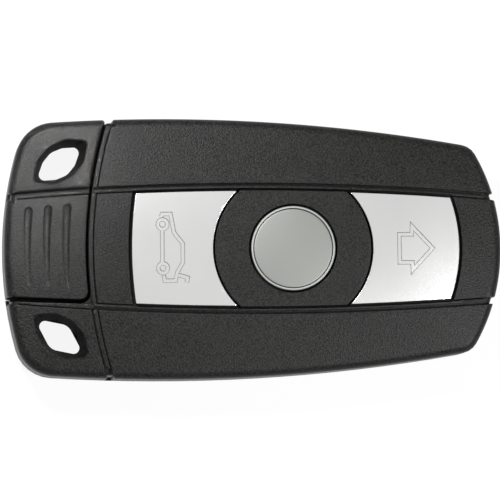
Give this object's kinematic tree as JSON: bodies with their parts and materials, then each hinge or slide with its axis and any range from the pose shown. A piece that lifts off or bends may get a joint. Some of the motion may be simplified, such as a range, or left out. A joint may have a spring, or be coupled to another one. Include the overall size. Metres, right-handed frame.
{
  "type": "car key fob",
  "caption": "Slot-type remote car key fob: grained black case, silver press buttons round a blank disc, and a pull-out emergency key whose grip carries a ring hole.",
  "frame": {"origin": "under the middle of the fob, on the plane of its flat underside", "axes": "+X along the fob towards the slot end, +Y across it, +Z out of the button face"},
  "size_m": [0.078, 0.0408, 0.013],
  "materials": {
    "case_black": "fine spark-eroded grain",
    "button_silver": "satin silver paint on plastic",
    "button_rim": "satin chrome rim",
    "badge_silver": "satin silver, slightly green",
    "silicone": "matt silicone",
    "board_green": "solder mask",
    "switch_metal": "tinned steel",
    "switch_stem": "moulded",
    "chip_black": "moulding compound",
    "ceramic": "ceramic chip",
    "ferrite": "pressed ferrite",
    "copper": "enamelled copper wire",
    "cell_steel": "nickel-plated steel",
    "contact_brass": "gold-flashed spring bronze",
    "seal_rubber": "matt",
    "blade_steel": "milled nickel silver and steel"
  },
  "bodies": {
    "case": {"upper_shell": "case_black", "lower_shell": "case_black", "centre_bezel": "case_black", "keypad_mat": "silicone", "circuit_board": "board_green", "switch_bodies": "switch_metal", "controller_chip": "chip_black", "radio_chip": "chip_black", "crystal": "switch_metal", "board_passives": "ceramic", "antenna_core": "ferrite", "antenna_winding": "copper", "coin_cell": "cell_steel", "contact_plus": "contact_brass", "contact_minus": "contact_brass", "latch_spring": "blade_steel"},
    "trunk_key": {"trunk_button": "button_silver", "trunk_plunger": "silicone", "trunk_switch_stem": "switch_stem"},
    "unlock_key": {"unlock_button": "button_rim", "badge_disc": "badge_silver", "unlock_plunger": "silicone", "unlock_switch_stem": "switch_stem"},
    "lock_key": {"lock_button": "button_silver", "lock_plunger": "silicone", "lock_switch_stem": "switch_stem"},
    "emergency_key": {"key_grip": "case_black", "key_blade": "blade_steel", "blade_pin": "blade_steel"},
    "latch": {"release_latch": "case_black"},
    "rear_cover": {"battery_cover": "case_black", "cover_seal": "seal_rubber"}
  },
  "joints": [
    {"name": "trunk_press", "type": "slide", "parent": "case", "child": "trunk_key", "axis": [0, 0, -1], "range_m": [0, 0.0004], "stiffness_N_per_m": 800},
    {"name": "unlock_press", "type": "slide", "parent": "case", "child": "unlock_key", "axis": [0, 0, -1], "range_m": [0, 0.0004], "stiffness_N_per_m": 800},
    {"name": "lock_press", "type": "slide", "parent": "case", "child": "lock_key", "axis": [0, 0, -1], "range_m": [0, 0.0004], "stiffness_N_per_m": 800},
    {"name": "key_pull", "type": "slide", "parent": "case", "child": "emergency_key", "axis": [-1, 0, 0], "range_m": [0, 0.056]},
    {"name": "latch_slide", "type": "slide", "parent": "case", "child": "latch", "axis": [0, -1, 0], "range_m": [0, 0.0015], "stiffness_N_per_m": 400, "deforming": ["latch_spring"]},
    {"name": "cover_lift", "type": "slide", "parent": "case", "child": "rear_cover", "axis": [0, 0, -1], "range_m": [0, 0.02]}
  ]
}
